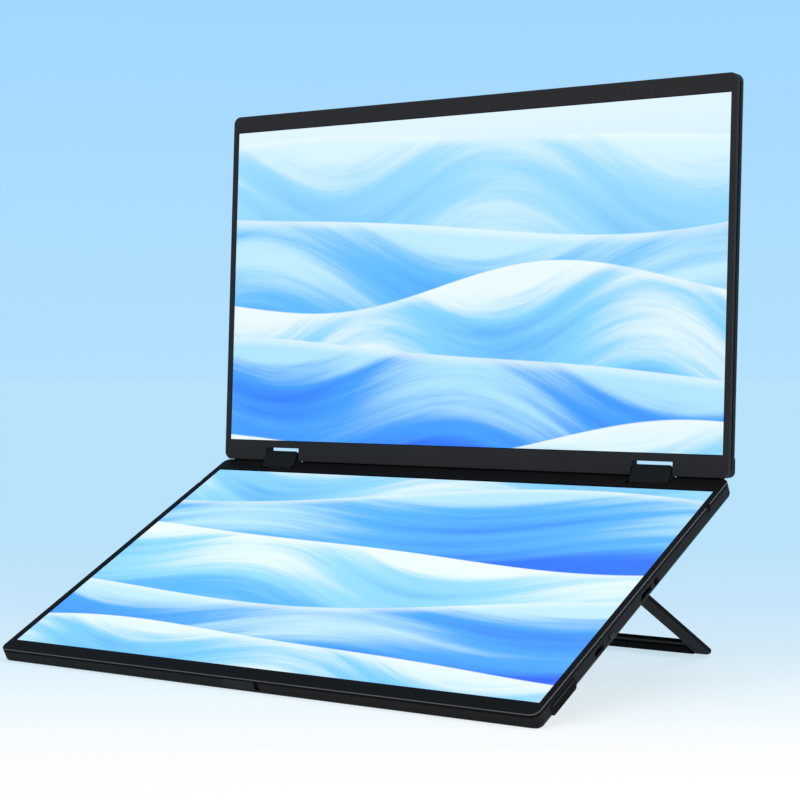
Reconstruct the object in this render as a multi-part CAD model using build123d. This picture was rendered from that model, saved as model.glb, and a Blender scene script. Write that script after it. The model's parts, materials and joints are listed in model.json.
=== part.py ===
from build123d import *
from math import asin, atan2, cos, degrees, hypot, radians, sin, sqrt, tan
from types import SimpleNamespace
import os

# Stacked dual-screen monitor, in millimetres: a lower display half that stands on its front edge and
# a folding stand, and an upper display half on two link hinges at its rear edge.
# Each half is drawn in a frame of its own: x across, y from the hinge edge to the free edge, z out of
# the screen, with the screen-side face at z = 0. In the lower half's frame x points to the left.

# Screens, 15.6 inch at 16:9
active_width = 344.2
active_height = 193.6

# Outline of the halves
side_margin = 4.2
lower_hinge_margin = 12.8
lower_free_margin = 10.2
upper_hinge_margin = 12.5
upper_free_margin = 10.5
corner_radius = 4.8
edge_chamfer = 0.35
lower_back_inset = 0.7
lower_back_drop = 1.5
upper_back_inset = 1.65
upper_back_drop = 1.1
edge_rib_radius = 0.8
edge_rib_proud = 0.6

# Case walls
wall = 1.2
floor_thickness = 0.8
seam_depth = 1.8
lip_thickness = 0.7
window_gap = 0.4
overrun = 5.0
fit_clearance = 0.05
running_clearance = 0.04
slide_clearance = 0.15

# Display stack, from the screen to the back
glass_border = 2.2
glass_thickness = 1.0
guide_thickness = 1.1
tray_wall = 0.4
stack_clearance = 0.4
upper_room = 3.4

# Pose at rest
lower_tilt = 26.84
opening_angle = 119.4
half_turn = 180.0
quarter_turn = 90.0

# Link hinges
lower_axis_inset = 4.2
upper_axis_inset = 3.1
lower_axis_depth = 3.1
upper_axis_depth = 4.2
axis_spacing = 9.18
shaft_radius = 1.0
notch_side_gap = 33.7
notch_width = 25.9
notch_wall = 0.8
lower_notch_depth = 9.4
upper_notch_depth = 7.9
link_gap_inner = 1.3
link_gap_outer = 0.6
link_radius = 2.3
block_end_gap = 0.3
cover_front = 4.41
cover_thickness = 1.0
cover_below = 1.54
cover_above = 1.06
cover_corner = 1.6
cover_border = 0.6

# Hinge shafts' flattened ends and their brackets
shaft_outer_tail = 2.4
shaft_inner_tail = 12.7
tongue_length = 14.0
tongue_width = 4.8
tongue_thickness = 1.2
tongue_gap = 0.1
tongue_root = 2.0
bracket_overhang = 6.0
bracket_length = 17.0
bracket_thickness = 0.8
bracket_gap = 0.4
rivet_radius = 0.6
rivet_shares = (0.25, 0.72)

# Screws and their bosses
boss_radius = 2.2
screw_head_radius = 1.7
screw_head_thickness = 0.5
screw_head_sink = 0.1
screw_shank_radius = 0.85
screw_socket_radius = 0.7
screw_socket_depth = 0.3
screw_socket_sides = 6
screw_tip_cover = 0.3
hinge_screw_head_radius = 1.4
hinge_screw_head_thickness = 0.3
hinge_screw_shank_radius = 0.7
hinge_boss_radius = 1.9
case_screw_edge_distance = 4.3
case_screw_side_gap = 20.3
bracket_screw_share = 0.9
free_edge_screw_side_gap = 24.7
upper_middle_screw_share = 0.3

# Ribs that carry the backlight tray
rib_width = 1.6
rib_x_shares = (-0.36, 0.36)
rib_start_share = 0.24
rib_end_share = 0.78

# Panel driver boards
driver_board_width = 150.0
driver_board_depth = 12.0
driver_board_thickness = 0.6
driver_board_start = 18.0
driver_connector_width = 22.0
driver_connector_depth = 4.0
driver_connector_height = 0.4

# Folding stand
stand_length = 137.0
stand_end_gap = 3.8
stand_side_gap = 37.8
stand_arm_width = 11.0
stand_bar_width = 18.0
stand_thickness = 2.2
stand_outer_corner = 6.0
stand_inner_corner = 2.0
stand_edge_chamfer = 0.4
stand_gap = 0.5
stand_most_open_angle = 138.0
knuckle_radius = 1.7
pin_radius = 0.9
ear_width = 2.0
ear_length = 7.0
scoop_width = 22.0
scoop_depth = 7.0
strip_width = 12.0
strip_inset = 12.5
strip_seat = 0.6
strip_proud = 0.6
strip_bevel = 0.4
rest_bevel = 0.45
knuckle_headroom = 0.2

# Main board in the lower half, along the right-hand side
board_width = 29.0
board_thickness = 0.8
board_edge_gap = 1.9
board_front_y = 164.4
board_rear_y = 87.4
usb_y = 155.8
usb_width = 8.94
usb_height = 3.16
usb_depth = 7.5
usb_corner = 1.5
usb_shell = 0.3
usb_tongue_width = 6.2
usb_tongue_thickness = 0.7
usb_tongue_depth = 4.5
hdmi_y = 104.9
hdmi_width = 11.2
hdmi_height = 3.2
hdmi_depth = 7.5
hdmi_shell = 0.35
hdmi_taper = 0.9
hdmi_tongue_width = 7.6
hdmi_tongue_thickness = 0.8
hdmi_tongue_depth = 4.5
socket_setback = 0.4
socket_gap = 0.15
jack_y = 93.5
jack_width = 6.0
jack_height = 4.0
jack_depth = 13.0
jack_nose_radius = 2.0
jack_bore_radius = 1.8
jack_bore_depth = 11.5
jack_hole_radius = 2.4
lamp_y = 149.6
lamp_radius = 1.2
lamp_length = 7.0
lamp_setback = 0.1
button_y = 142.8
button_width = 5.0
button_height = 2.8
button_proud = 0.5
button_flange = 0.3
button_flange_thickness = 0.8
button_travel = 0.5
switch_width = 6.0
switch_height = 3.0
switch_depth = 4.2
switch_gap = 0.1
plunger_radius = 0.9
plunger_length = 0.6
side_port_height = 1.6
chip_shares = ((0.30, 0.30, 0.34, 0.13), (0.34, 0.55, 0.26, 0.10), (0.28, 0.78, 0.24, 0.09))
chip_height = 1.1
display_connector_depth = 4.0

# Flat cable from the main board to the lower panel's driver board
cable_width = 9.0
cable_thickness = 0.3
cable_end = 6.0

# Speakers, one each side
speaker_width = 14.0
speaker_length = 28.0
speaker_height = 3.2
speaker_y = 49.4
speaker_edge_gap = 3.0
speaker_corner = 2.0
sound_slot_count = 6
sound_slot_width = 1.2
sound_slot_length = 9.0
sound_slot_pitch = 3.2

# Rubber feet under the lower half and pads behind the upper half
foot_start_y = 180.8
foot_length = 24.0
foot_top_depth = 2.5
foot_width = 13.0
foot_side_seat = 0.8
foot_side_proud = 0.2
foot_seat = 0.4
foot_proud = 0.6
foot_end_rounding = 1.9
pad_width = 15.5
pad_length = 12.5
pad_edge_gap = 0.3
pad_seat = 0.4
pad_proud = 1.0
pad_corner = 3.4
pad_rounding = 0.7

# Groove in each side of the lower half, near the hinge edge
groove_y = 26.4
groove_width = 4.4
groove_depth = 0.7
groove_height = 3.6

# Slide latch in the lower half's front face
latch_slot_left = 12.8
latch_slot_right = 11.0
latch_slot_top = 0.9
latch_slot_height = 5.0
latch_travel = 2.6
latch_gap = 0.2
latch_proud = 0.5
latch_plate_thickness = 1.0
latch_plate_margin = 2.5
latch_plate_floor_gap = 0.1
latch_plate_gap = 0.1
latch_rounding = 0.4

# Status lamp in the upper half's chin
chin_lamp_side_gap = 8.9
chin_lamp_y = 6.0
chin_lamp_radius = 0.6
chin_lamp_flange = 0.5
chin_lamp_flange_thickness = 0.5

# Sizes that follow from these
half_width = active_width / 2 + side_margin
stack_depth = lip_thickness + glass_thickness + guide_thickness + tray_wall
tray_top = -(lip_thickness + glass_thickness)
recess_depth = 2 * knuckle_radius + knuckle_headroom
socket_room = board_thickness + max(usb_height, hdmi_height)
lower_room = stack_clearance + max(recess_depth, socket_room, jack_height)
lower_thickness = stack_depth + lower_room + floor_thickness
upper_thickness = stack_depth + upper_room + floor_thickness
notch_outer = half_width - notch_side_gap
notch_inner = notch_outer - notch_width
link_inner = notch_inner + link_gap_inner
link_outer = notch_outer - link_gap_outer
shaft_round_start = notch_inner - shaft_inner_tail
tongue_start = shaft_round_start - tongue_length
inner_side = half_width - wall
board_outer = inner_side - board_edge_gap
board_inner = board_outer - board_width
board_top = -(lower_thickness - floor_thickness) + board_thickness
side_port_z = board_top + side_port_height
bracket_start = tongue_start - bracket_overhang
stand_half_width = half_width - stand_side_gap
chin_lamp_x = half_width - chin_lamp_side_gap
right_side = -1


def both_sides(distances, y):
    """Places at each distance to the left and to the right of the middle."""
    places = {(side * distance, y) for distance in distances for side in (-1, 1)}
    return sorted(places)


def display_half(margins, thickness, back_edge, axis_place, notch_depth, free_edge_x):
    """Sizes of one half, in its own frame."""
    hinge_margin, free_margin = margins
    back_inset, back_drop = back_edge
    axis_inset, axis_depth = axis_place
    length = hinge_margin + active_height + free_margin
    seat = axis_depth + tongue_thickness / 2
    hinge_edge_x = (0, bracket_screw_share * bracket_start, half_width - case_screw_side_gap)
    screws = both_sides(hinge_edge_x, case_screw_edge_distance)
    screws += both_sides(free_edge_x, length - case_screw_edge_distance)
    return SimpleNamespace(
        length=length,
        thickness=thickness,
        back_inset=back_inset,
        back_drop=back_drop,
        axis_inset=axis_inset,
        axis_depth=axis_depth,
        notch_depth=notch_depth,
        active_start=hinge_margin,
        active_end=hinge_margin + active_height,
        inner_floor=floor_thickness - thickness,
        bracket_top=-seat,
        bracket_bottom=-seat - bracket_thickness,
        screws=screws,
    )


free_screw_x = half_width - free_edge_screw_side_gap
lower = display_half(
    (lower_hinge_margin, lower_free_margin),
    lower_thickness,
    (lower_back_inset, lower_back_drop),
    (lower_axis_inset, lower_axis_depth),
    lower_notch_depth,
    (free_screw_x,),
)
upper = display_half(
    (upper_hinge_margin, upper_free_margin),
    upper_thickness,
    (upper_back_inset, upper_back_drop),
    (upper_axis_inset, upper_axis_depth),
    upper_notch_depth,
    (upper_middle_screw_share * half_width, free_screw_x),
)


# Pose at rest: the lower half's front bottom edge and the stand's foot strip meet the desk at z = 0

stand_pivot_y = lower.length - stand_end_gap - stand_length
pivot_z = knuckle_radius - lower.thickness
foot_rise = stand_thickness + strip_proud - knuckle_radius


def behind_axis(y, z):
    """How far behind the lower hinge axis a point of the lower half lies at rest."""
    tilt = radians(lower_tilt)
    return -(y - lower.axis_inset) * cos(tilt) - (z + lower.axis_depth) * sin(tilt)


def below_axis(y, z):
    """How far below the lower hinge axis a point of the lower half lies at rest."""
    tilt = radians(lower_tilt)
    return (y - lower.axis_inset) * sin(tilt) - (z + lower.axis_depth) * cos(tilt)


hinge_height = below_axis(lower.length - lower.back_inset, -lower.thickness) - rest_bevel
pivot_height = hinge_height - below_axis(stand_pivot_y, pivot_z)
foot_reach = hypot(stand_length, foot_rise)
foot_drop = pivot_height + strip_bevel
foot_angle = degrees(atan2(foot_rise, stand_length))
stand_open = half_turn - lower_tilt + foot_angle - degrees(asin(foot_drop / foot_reach))
front_reach = behind_axis(lower.length, 0)
back_reach = behind_axis(stand_pivot_y, pivot_z) + sqrt(foot_reach**2 - foot_drop**2)
hinge_y = -(front_reach + back_reach) / 2
upper_angle = lower_tilt + half_turn - opening_angle
link_angle = lower_tilt + (half_turn - opening_angle) / 2
upper_axis_y = hinge_y + axis_spacing * cos(radians(link_angle))
upper_axis_z = hinge_height + axis_spacing * sin(radians(link_angle))
turned_about = Rot(0, 0, half_turn)
lower_axis = Pos(0, hinge_y, hinge_height)
upper_axis = Pos(0, upper_axis_y, upper_axis_z)
lower_turn = Rot(lower_tilt, 0, 0) * turned_about
lower_place = lower_axis * lower_turn * Pos(0, -lower.axis_inset, lower.axis_depth)
upper_place = upper_axis * Rot(upper_angle, 0, 0) * Pos(0, -upper.axis_inset, upper.axis_depth)
link_place = lower_axis * Rot(link_angle, 0, 0)
stand_swing = Pos(0, stand_pivot_y, pivot_z) * Rot(-stand_open, 0, 0) * Pos(0, -stand_pivot_y, -pivot_z)
stand_place = lower_place * stand_swing


# Shapes that repeat


def across(side, near, far):
    """The x range from near to far on one side of the middle."""
    return min(side * near, side * far), max(side * near, side * far)


def block(x_range, y_range, z_range):
    spans = [high - low for low, high in (x_range, y_range, z_range)]
    middle = [(low + high) / 2 for low, high in (x_range, y_range, z_range)]
    return Pos(*middle) * Box(*spans)


def post(x, y, z_range, radius):
    low, high = z_range
    return Pos(x, y, (low + high) / 2) * Cylinder(radius, high - low)


def rod(x_range, y, z, radius):
    low, high = x_range
    return Pos((low + high) / 2, y, z) * Rot(0, quarter_turn, 0) * Cylinder(radius, high - low)


def pill(x_range, y, z, width, height):
    """A bar along x with a pill-shaped section."""
    low, high = x_range
    section = Plane.YZ * SlotOverall(width, height)
    return Pos(low, y, z) * extrude(section, high - low)


def outline(half, inset):
    size = (2 * (half_width - inset), half.length - 2 * inset)
    return Pos(0, half.length / 2) * RectangleRounded(*size, corner_radius - inset)


def prism(half, inset, z_range):
    low, high = z_range
    return Pos(0, 0, low) * extrude(outline(half, inset), high - low)


def tapered(half, low_inset, high_inset, z_range):
    low, high = z_range
    ends = [Pos(0, 0, low) * outline(half, low_inset), Pos(0, 0, high) * outline(half, high_inset)]
    return loft(ends, ruled=True)


def screw(x, y, under_head, tip, head_radius, head_thickness, shank_radius):
    """A socket-head screw whose head points away from its tip."""
    towards = 1 if under_head > tip else -1
    head_end = under_head + towards * head_thickness
    body = post(x, y, sorted((under_head, head_end)), head_radius)
    body += post(x, y, sorted((under_head, tip)), shank_radius)
    socket_floor = head_end - towards * screw_socket_depth
    socket = extrude(RegularPolygon(screw_socket_radius, screw_socket_sides), screw_socket_depth)
    return body - Pos(x, y, min(head_end, socket_floor)) * socket


# Case of a half


def notch_cuts(half):
    depth = (-overrun, half.notch_depth)
    height = (-half.thickness - overrun, overrun)
    return [block(across(side, notch_inner, notch_outer), depth, height) for side in (-1, 1)]


def notch_surrounds(half):
    """Walls that close the case round each hinge notch."""
    depth = (0, half.notch_depth + notch_wall)
    height = (-half.thickness, overrun)
    reach = (notch_inner - notch_wall, notch_outer + notch_wall)
    return [block(across(side, *reach), depth, height) for side in (-1, 1)]


def hinge_screw_places():
    """Places of one bracket's screws: two beyond the tongue, one below it."""
    beyond = tongue_start - bracket_overhang / 2
    first = wall + tongue_gap + tongue_width / 2
    last = bracket_length - hinge_boss_radius
    return [(beyond, first), (beyond, last), ((tongue_start + shaft_round_start) / 2, last)]


def shaft_range():
    return shaft_round_start, notch_outer + shaft_outer_tail


def bezel(half, holes):
    """Front frame: a wall round the edge and a lip over the panel's border."""
    frame = prism(half, 0, (-seam_depth, -edge_chamfer))
    frame += tapered(half, 0, edge_chamfer, (-edge_chamfer, 0))
    hollow = prism(half, wall, (-seam_depth - overrun, -lip_thickness))
    for surround in notch_surrounds(half):
        hollow -= surround
    for x, y in half.screws:
        hollow -= post(x, y, (-half.thickness, 0), boss_radius)
    frame -= hollow
    window_x = (-active_width / 2 - window_gap, active_width / 2 + window_gap)
    window_y = (half.active_start - window_gap, half.active_end + window_gap)
    frame -= block(window_x, window_y, (-overrun, overrun))
    for x, y in half.screws:
        frame -= post(x, y, (-half.thickness, -lip_thickness), screw_shank_radius + fit_clearance)
    for cut in notch_cuts(half) + holes:
        frame -= cut
    return frame


def rear_cover(half, islands, holes):
    """Back shell: a tray with bosses, walls round the hinge notches and ribs under the backlight."""
    shoulder = half.back_drop - half.thickness
    shell = prism(half, 0, (shoulder, -seam_depth))
    shell += tapered(half, half.back_inset, 0, (-half.thickness, shoulder))
    hollow = prism(half, wall, (half.inner_floor, overrun))
    standing = notch_surrounds(half) + islands
    standing += [post(x, y, (-half.thickness, overrun), boss_radius) for x, y in half.screws]
    for side in (-1, 1):
        for x, y in hinge_screw_places():
            standing.append(post(side * x, y, (-half.thickness, half.bracket_bottom), hinge_boss_radius))
    rib_y = (rib_start_share * half.length, rib_end_share * half.length)
    for share in rib_x_shares:
        rib_x = (share * half_width - rib_width / 2, share * half_width + rib_width / 2)
        standing.append(block(rib_x, rib_y, (-half.thickness, -stack_depth)))
    for island in standing:
        hollow -= island
    shell -= hollow
    head_seat = screw_head_thickness + screw_head_sink - half.thickness
    hinge_hole = hinge_screw_shank_radius + fit_clearance
    cuts = notch_cuts(half) + holes
    for x, y in half.screws:
        cuts.append(post(x, y, (-half.thickness, overrun), screw_shank_radius + fit_clearance))
        cuts.append(post(x, y, (-half.thickness - overrun, head_seat), screw_head_radius + fit_clearance))
    shaft_hole = shaft_radius + fit_clearance
    for side in (-1, 1):
        cuts.append(rod(across(side, *shaft_range()), half.axis_inset, -half.axis_depth, shaft_hole))
        for x, y in hinge_screw_places():
            cuts.append(post(side * x, y, (screw_tip_cover - half.thickness, overrun), hinge_hole))
    for cut in cuts:
        shell -= cut
    return shell


def case_screws(half):
    under_head = screw_head_thickness + screw_head_sink - half.thickness
    tip = -lip_thickness - screw_tip_cover
    sizes = (screw_head_radius, screw_head_thickness, screw_shank_radius)
    return [screw(x, y, under_head, tip, *sizes) for x, y in half.screws]


# Display stack of a half


def panel_box(half, inset, z_range):
    reach = active_width / 2 + glass_border - inset
    ends = (half.active_start - glass_border + inset, half.active_end + glass_border - inset)
    return block((-reach, reach), ends, z_range)


def lcd_panel(half):
    return panel_box(half, 0, (tray_top, -lip_thickness))


def light_guide(half):
    return panel_box(half, tray_wall, (tray_top - guide_thickness, tray_top))


def backlight_tray(half):
    return panel_box(half, 0, (-stack_depth, tray_top)) - light_guide(half)


def driver_board(half):
    under = -stack_depth - driver_board_thickness
    ends = (driver_board_start, driver_board_start + driver_board_depth)
    board = block((-driver_board_width / 2, driver_board_width / 2), ends, (under, -stack_depth))
    plug_ends = (driver_board_start, driver_board_start + driver_connector_depth)
    plug_reach = (-driver_connector_width / 2, driver_connector_width / 2)
    return board + block(plug_reach, plug_ends, (under - driver_connector_height, under))


# Hinge pieces of a half


def tongue_range():
    return wall + tongue_gap, wall + tongue_gap + tongue_width


def rivet_places():
    middle = sum(tongue_range()) / 2
    return [(tongue_start + share * tongue_length, middle) for share in rivet_shares]


def hinge_shaft(half, side):
    """A round shaft through the link, flattened at its inner end for the bracket."""
    shaft = rod(across(side, *shaft_range()), half.axis_inset, -half.axis_depth, shaft_radius)
    reach = across(side, tongue_start, shaft_round_start + tongue_root)
    level = (half.bracket_top, half.bracket_top + tongue_thickness)
    shaft += block(reach, tongue_range(), level)
    for x, y in rivet_places():
        shaft -= post(side * x, y, (-half.thickness, overrun), rivet_radius + fit_clearance)
    return shaft


def hinge_bracket(half, side):
    reach = across(side, bracket_start, shaft_round_start - bracket_gap)
    plate = block(reach, (wall + tongue_gap, bracket_length), (half.bracket_bottom, half.bracket_top))
    for x, y in hinge_screw_places():
        plate -= post(side * x, y, (-half.thickness, overrun), hinge_screw_shank_radius + fit_clearance)
    for x, y in rivet_places():
        plate -= post(side * x, y, (-half.thickness, overrun), rivet_radius + fit_clearance)
    return plate


def hinge_screws(half):
    sizes = (hinge_screw_head_radius, hinge_screw_head_thickness, hinge_screw_shank_radius)
    tip = 2 * screw_tip_cover - half.thickness
    places = [(side * x, y) for side in (-1, 1) for x, y in hinge_screw_places()]
    return [screw(x, y, half.bracket_top, tip, *sizes) for x, y in places]


def hinge_rivets(half):
    level = (half.bracket_bottom, half.bracket_top + tongue_thickness)
    return [post(side * x, y, level, rivet_radius) for side in (-1, 1) for x, y in rivet_places()]


# Links, in a frame with x along the lower hinge axis, y towards the upper one and z towards the viewer


def hinge_block(side):
    reach = across(side, link_inner + block_end_gap, link_outer - block_end_gap)
    seat = cover_front - cover_thickness
    body = rod(reach, 0, 0, link_radius) + rod(reach, axis_spacing, 0, link_radius)
    body += block(reach, (0, axis_spacing), (-link_radius, link_radius))
    body += block(reach, (cover_border - cover_below, axis_spacing + cover_above - cover_border), (0, seat))
    through = across(side, link_inner - overrun, link_outer + overrun)
    for y in (0, axis_spacing):
        body -= rod(through, y, 0, shaft_radius + running_clearance)
    return body


def hinge_cover(side):
    width = link_outer - link_inner
    length = cover_below + axis_spacing + cover_above
    middle = (side * (link_inner + link_outer) / 2, (axis_spacing + cover_above - cover_below) / 2)
    seat = cover_front - cover_thickness
    plate = Pos(*middle, seat) * extrude(RectangleRounded(width, length, cover_corner), cover_thickness)
    front_edges = plate.faces().sort_by(Axis.Z)[-1].edges()
    return chamfer(front_edges, edge_chamfer)


# Folding stand, drawn folded into the lower half's back

stand_end_y = stand_pivot_y + stand_length
arm_inner = stand_half_width - stand_arm_width
bar_start_y = stand_end_y - stand_bar_width
recess_start_y = stand_pivot_y - knuckle_radius * tan(radians(stand_most_open_angle / 2)) - stand_gap
stand_back = -lower.thickness


def far_corners(shape):
    """A block's two upright edges that are nearest to the free edge."""
    return shape.edges().filter_by(Axis.Z).group_by(Axis.Y)[-1]


def stand_frame():
    """U-shaped plate with a knuckle at the end of each arm."""
    level = (stand_back, stand_back + stand_thickness)
    plate = block((-stand_half_width, stand_half_width), (stand_pivot_y, stand_end_y), level)
    plate = fillet(far_corners(plate), stand_outer_corner)
    gap = block((-arm_inner, arm_inner), (stand_pivot_y - overrun, bar_start_y), level)
    gap = fillet(far_corners(gap), stand_inner_corner)
    plate -= gap
    rims = plate.edges().filter_by(lambda edge: edge.center().Y > stand_pivot_y + knuckle_radius)
    rims = rims.group_by(Axis.Z)[0] + rims.group_by(Axis.Z)[-1]
    plate = chamfer(rims, stand_edge_chamfer)
    for side in (-1, 1):
        plate += rod(across(side, arm_inner, stand_half_width), stand_pivot_y, pivot_z, knuckle_radius)
        through = across(side, arm_inner - overrun, stand_half_width + overrun)
        plate -= rod(through, stand_pivot_y, pivot_z, pin_radius + running_clearance)
    return plate - strip_block(overrun, overrun)


def strip_block(past_end, past_seat):
    """The strip's groove along the stand's free end, run on past the end and past the face."""
    reach = stand_half_width - strip_inset
    face = stand_back + stand_thickness
    ends = (stand_end_y - strip_width, stand_end_y + past_end)
    return block((-reach, reach), ends, (face - strip_seat, face + past_seat))


def stand_foot_strip():
    """Rubber strip along the free end, let into the face that meets the desk."""
    return strip_block(0, strip_proud)


def stand_recess(margin, z_range):
    """The U that the folded stand lies in, with a scoop for a finger, grown by a margin."""
    reach = stand_half_width + stand_gap + margin
    inner = arm_inner - stand_gap - margin
    ends = (recess_start_y - margin, stand_end_y + stand_gap + margin)
    inner_end = bar_start_y - stand_gap - margin
    low, high = z_range
    recess = block((-reach, reach), ends, z_range)
    recess = fillet(far_corners(recess), stand_outer_corner + stand_gap + margin)
    island = block((-inner, inner), (ends[0] - overrun, inner_end), (low - overrun, high + overrun))
    recess -= fillet(far_corners(island), stand_inner_corner - stand_gap)
    scoop = scoop_width / 2 + margin
    return recess + block((-scoop, scoop), (inner_end - scoop_depth, inner_end + stand_gap), z_range)


def ear_range(side, outer):
    edge = stand_half_width + stand_gap if outer else arm_inner - stand_gap
    far = edge + ear_width if outer else edge - ear_width
    return across(side, edge, far)


def stand_ears():
    """Thick places beside each knuckle that hold the pin's ends."""
    ends = (stand_pivot_y - ear_length / 2, stand_pivot_y + ear_length / 2)
    height = (-lower.thickness, -lower.thickness + recess_depth + floor_thickness)
    return [block(ear_range(side, outer), ends, height) for side in (-1, 1) for outer in (False, True)]


def pin_range(side):
    return across(side, arm_inner - stand_gap - ear_width / 2, stand_half_width + stand_gap + ear_width / 2)


def stand_pins():
    return [rod(pin_range(side), stand_pivot_y, pivot_z, pin_radius) for side in (-1, 1)]


# Main board and what is on it, along the lower half's right-hand side


def right(near, far):
    return across(right_side, near, far)


def jack_body(grow):
    reach = right(board_outer - jack_depth + wall - grow, board_outer + grow)
    ends = (jack_y - jack_width / 2 - grow, jack_y + jack_width / 2 + grow)
    return block(reach, ends, (lower.inner_floor, lower.inner_floor + jack_height))


def main_board():
    ends = (board_rear_y, board_front_y)
    board = block(right(board_inner, board_outer), ends, (lower.inner_floor, board_top))
    return board - jack_body(socket_gap)


def on_board(x_share, y_share, width_share, length_share, height):
    """A chip placed by shares of the board's width and length, measured from its inner rear corner."""
    board_length = board_front_y - board_rear_y
    start_x = board_inner + x_share * board_width
    start_y = board_rear_y + y_share * board_length
    reach = right(start_x, start_x + width_share * board_width)
    return block(reach, (start_y, start_y + length_share * board_length), (board_top, board_top + height))


def display_connector_middle():
    return board_inner + cable_width / 2 + stand_gap, board_rear_y + display_connector_depth


def cable_level():
    return -stack_depth - driver_board_thickness


def board_chips():
    chips = [on_board(*shares, chip_height) for shares in chip_shares]
    x, y = display_connector_middle()
    reach = right(x - cable_width / 2, x + cable_width / 2)
    ends = (y - display_connector_depth / 2, y + display_connector_depth / 2)
    return chips + [block(reach, ends, (board_top, cable_level() - cable_thickness))]


def lower_panel_cable():
    """Flat cable that runs along the hinge edge, then turns towards the main board."""
    x, y = display_connector_middle()
    level = (cable_level() - cable_thickness, cable_level())
    rear = driver_board_start + driver_board_depth
    near = driver_board_width / 2 - cable_end
    along = block(right(near, x + cable_width / 2), (rear - cable_width, rear), level)
    turned_reach = right(x - cable_width / 2, x + cable_width / 2)
    return along + block(turned_reach, (rear - cable_width, y + cable_end / 2), level)


def usb_section(inset):
    return RectangleRounded(usb_width - 2 * inset, usb_height - 2 * inset, usb_corner - inset)


def hdmi_section(inset):
    wide = hdmi_width / 2 - inset
    high = hdmi_height / 2 - inset
    narrow = wide - hdmi_taper
    points = [(-wide, high), (wide, high), (wide, 0), (narrow, -high), (-narrow, -high), (-wide, 0)]
    return make_face(Polyline(*points, close=True))


def socket(y, section, shell, depth, height, tongue_size):
    """A metal socket: a shell that is open at the case's side, with a tongue inside it."""
    back = half_width - socket_setback - depth
    middle = board_top + height / 2
    outward = Plane(origin=(right_side * back, y, middle), x_dir=(0, 1, 0), z_dir=(right_side, 0, 0))
    body = extrude(outward * section(0), depth)
    body -= extrude(outward * Pos(0, 0, shell) * section(shell), depth)
    wide, thick, deep = tongue_size
    reach = right(back, back + shell + deep)
    return body + block(reach, (y - wide / 2, y + wide / 2), (middle - thick / 2, middle + thick / 2))


def usb_c_socket():
    tongue = (usb_tongue_width, usb_tongue_thickness, usb_tongue_depth)
    return socket(usb_y, usb_section, usb_shell, usb_depth, usb_height, tongue)


def mini_hdmi_socket():
    tongue = (hdmi_tongue_width, hdmi_tongue_thickness, hdmi_tongue_depth)
    return socket(hdmi_y, hdmi_section, hdmi_shell, hdmi_depth, hdmi_height, tongue)


def socket_hole(y, width, height):
    reach = right(inner_side - wall, half_width + overrun)
    ends = (y - width / 2 - socket_gap, y + width / 2 + socket_gap)
    return block(reach, ends, (board_top - socket_gap, board_top + height + socket_gap))


def jack_middle():
    return lower.inner_floor + jack_height / 2


def audio_jack():
    mouth = half_width - socket_setback
    body = jack_body(0) + rod(right(board_outer - wall, mouth), jack_y, jack_middle(), jack_nose_radius)
    bore = right(mouth - jack_bore_depth, half_width + overrun)
    return body - rod(bore, jack_y, jack_middle(), jack_bore_radius)


def status_light_pipe():
    mouth = half_width - lamp_setback
    return rod(right(mouth - lamp_length, mouth), lamp_y, side_port_z, lamp_radius)


def power_button():
    """A pill-shaped cap that stands out of the side, with a flange inside the wall."""
    flange_outer = inner_side - switch_gap
    cap_reach = right(flange_outer, half_width + button_proud)
    flange_reach = right(flange_outer - button_flange_thickness, flange_outer)
    flange_size = (button_width + 2 * button_flange, button_height + 2 * button_flange)
    cap = pill(cap_reach, button_y, side_port_z, button_width, button_height)
    return cap + pill(flange_reach, button_y, side_port_z, *flange_size)


def power_switch():
    """Push switch on the board's edge, with its plunger just clear of the pressed button."""
    pressed = inner_side - switch_gap - button_flange_thickness - button_travel
    tip = pressed - switch_gap
    base = tip - plunger_length
    ends = (button_y - switch_width / 2, button_y + switch_width / 2)
    body = block(right(base - switch_depth, base), ends, (board_top, board_top + switch_height))
    return body + rod(right(base, tip), button_y, board_top + switch_height / 2, plunger_radius)


def speaker(side):
    outer = inner_side - speaker_edge_gap
    x = side * (outer - speaker_width / 2)
    shape = RectangleRounded(speaker_width, speaker_length, speaker_corner)
    case = Pos(x, speaker_y, lower.inner_floor) * extrude(shape, speaker_height)
    cone_radius = speaker_width / 2 - speaker_corner
    return case - post(x, speaker_y, (lower.inner_floor, lower.inner_floor + floor_thickness), cone_radius)


def sound_slots():
    slots = []
    for side in (-1, 1):
        middle = side * (inner_side - speaker_edge_gap - speaker_width / 2)
        reach = (middle - sound_slot_length / 2, middle + sound_slot_length / 2)
        for number in range(sound_slot_count):
            y = speaker_y + (number - (sound_slot_count - 1) / 2) * sound_slot_pitch
            ends = (y - sound_slot_width / 2, y + sound_slot_width / 2)
            slots.append(block(reach, ends, (-lower.thickness - overrun, lower.inner_floor)))
    return slots


# Feet, pads, latch and lamp


def foot(side, past_side, gap):
    """Rubber foot: a flap on the lower half's side with rounded ends, and a sole under its back."""
    outer = half_width + past_side
    bottom = -lower.thickness - foot_proud - gap
    rounding = foot_end_rounding + gap
    start, end = foot_start_y - gap, foot_start_y + foot_length + gap
    flap_reach = across(side, half_width - foot_side_seat, outer)
    flap = block(flap_reach, (start, end), (bottom, gap - foot_top_depth))
    flap = fillet(flap.edges().filter_by(Axis.X), rounding)
    sole_reach = across(side, half_width - foot_width - gap, outer)
    sole_ends = (start + foot_end_rounding, end - foot_end_rounding)
    return flap + block(sole_reach, sole_ends, (bottom, foot_seat - lower.thickness))


def feet(past_side, gap):
    return [foot(side, past_side, gap) for side in (-1, 1)]


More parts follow.
